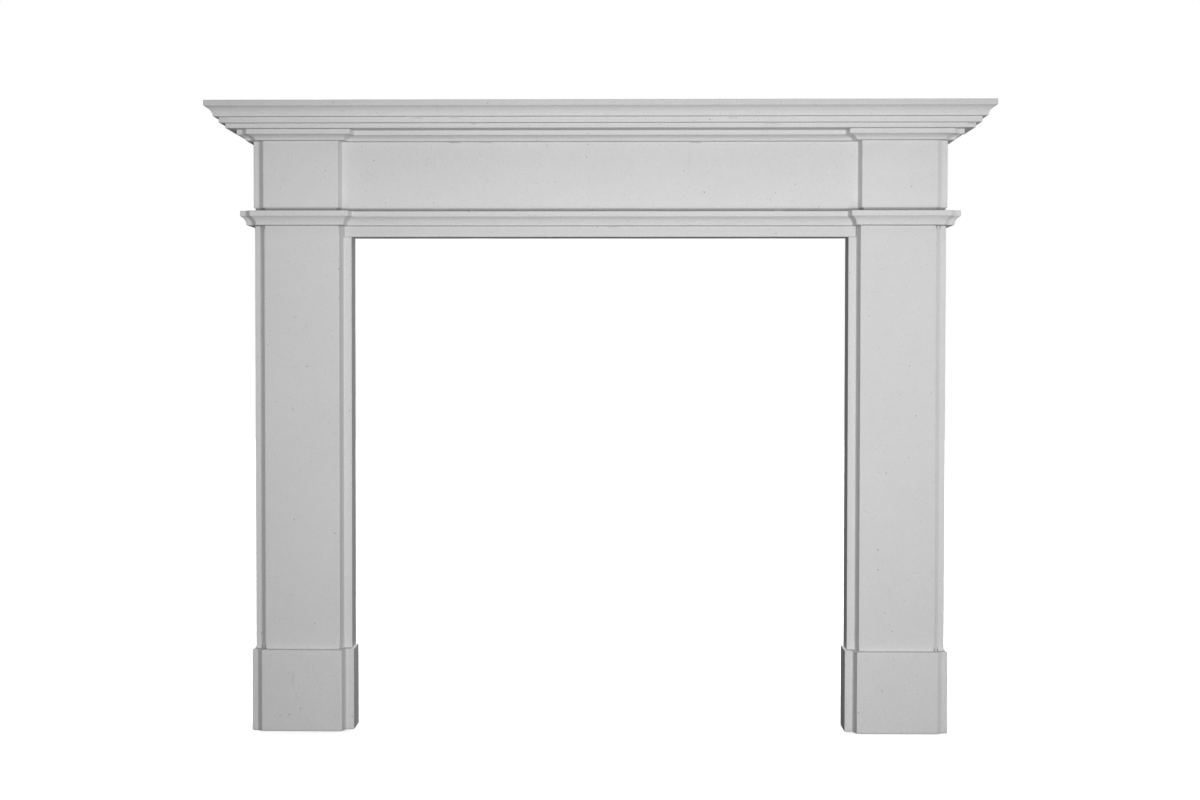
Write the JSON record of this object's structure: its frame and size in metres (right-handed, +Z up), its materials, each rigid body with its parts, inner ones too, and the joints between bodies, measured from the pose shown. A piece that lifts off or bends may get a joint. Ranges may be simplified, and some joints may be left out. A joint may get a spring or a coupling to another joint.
{
  "type": "fireplace mantelpiece",
  "caption": "Plain classical stone mantelpiece: pilaster legs on plinth blocks carry a moulded lintel, a frieze with end blocks and a projecting shelf around a square fire opening.",
  "frame": {"origin": "on the floor, midway between the two plinths and midway between the wall plane and the shelf's front edge, which is also the plane of the pilaster faces", "axes": "+X to the viewer's right along the shelf, +Y from the front towards the wall, +Z up"},
  "size_m": [1.462, 0.144, 1.1825],
  "materials": {
    "stone": "matt, fine-grained pale grey stone with small dark pits"
  },
  "bodies": {
    "root": {"mantel_shelf": "stone", "frieze": "stone", "lintel": "stone", "left_leg": "stone", "right_leg": "stone", "left_plinth": "stone", "right_plinth": "stone"}
  },
  "joints": []
}
